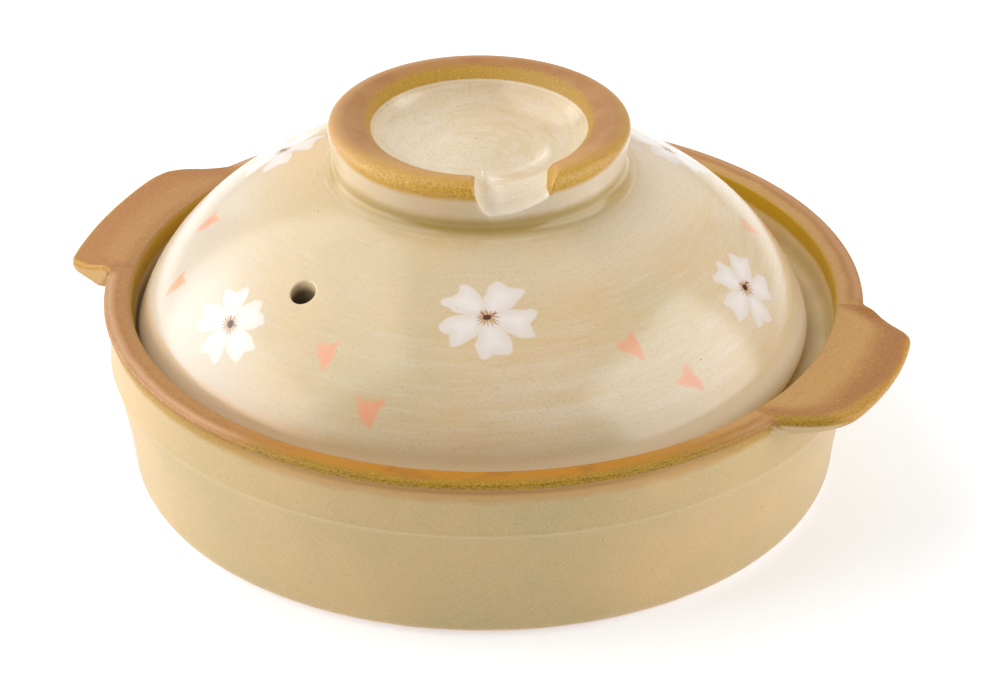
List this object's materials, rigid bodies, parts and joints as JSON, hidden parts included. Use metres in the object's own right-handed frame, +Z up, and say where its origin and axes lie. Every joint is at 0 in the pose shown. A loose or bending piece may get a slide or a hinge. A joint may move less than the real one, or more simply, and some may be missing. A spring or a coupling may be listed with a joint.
{
  "type": "nabe pot",
  "caption": "Shallow lidded stoneware hot pot with a flat lug on each side, a domed lid with a notched ring knob and a steam vent.",
  "frame": {"origin": "centre of the flat foot, on the surface that the pot stands on, midway between the lugs", "axes": "+Z up along the lid's lift, X from lug to lug, with the lid's notch and steam vent towards -Y"},
  "size_m": [0.2886, 0.255, 0.1257],
  "materials": {
    "sand_glaze": "satin sand-coloured glaze with fine specks",
    "rust_glaze": "dry rust-brown glaze with olive edges",
    "cream_glaze": "glossy cream glaze, brushed, with blossoms",
    "knob_glaze": "rust-brown ring with olive edges round a cream dish"
  },
  "bodies": {
    "pot": {"pot_body": "sand_glaze", "right_lug": "rust_glaze", "left_lug": "rust_glaze"},
    "lid": {"lid_dome": "cream_glaze", "lid_knob": "knob_glaze"}
  },
  "joints": [
    {"name": "lid_lift", "type": "slide", "parent": "pot", "child": "lid", "axis": [0, 0, 1], "range_m": [0, 0.12]}
  ]
}
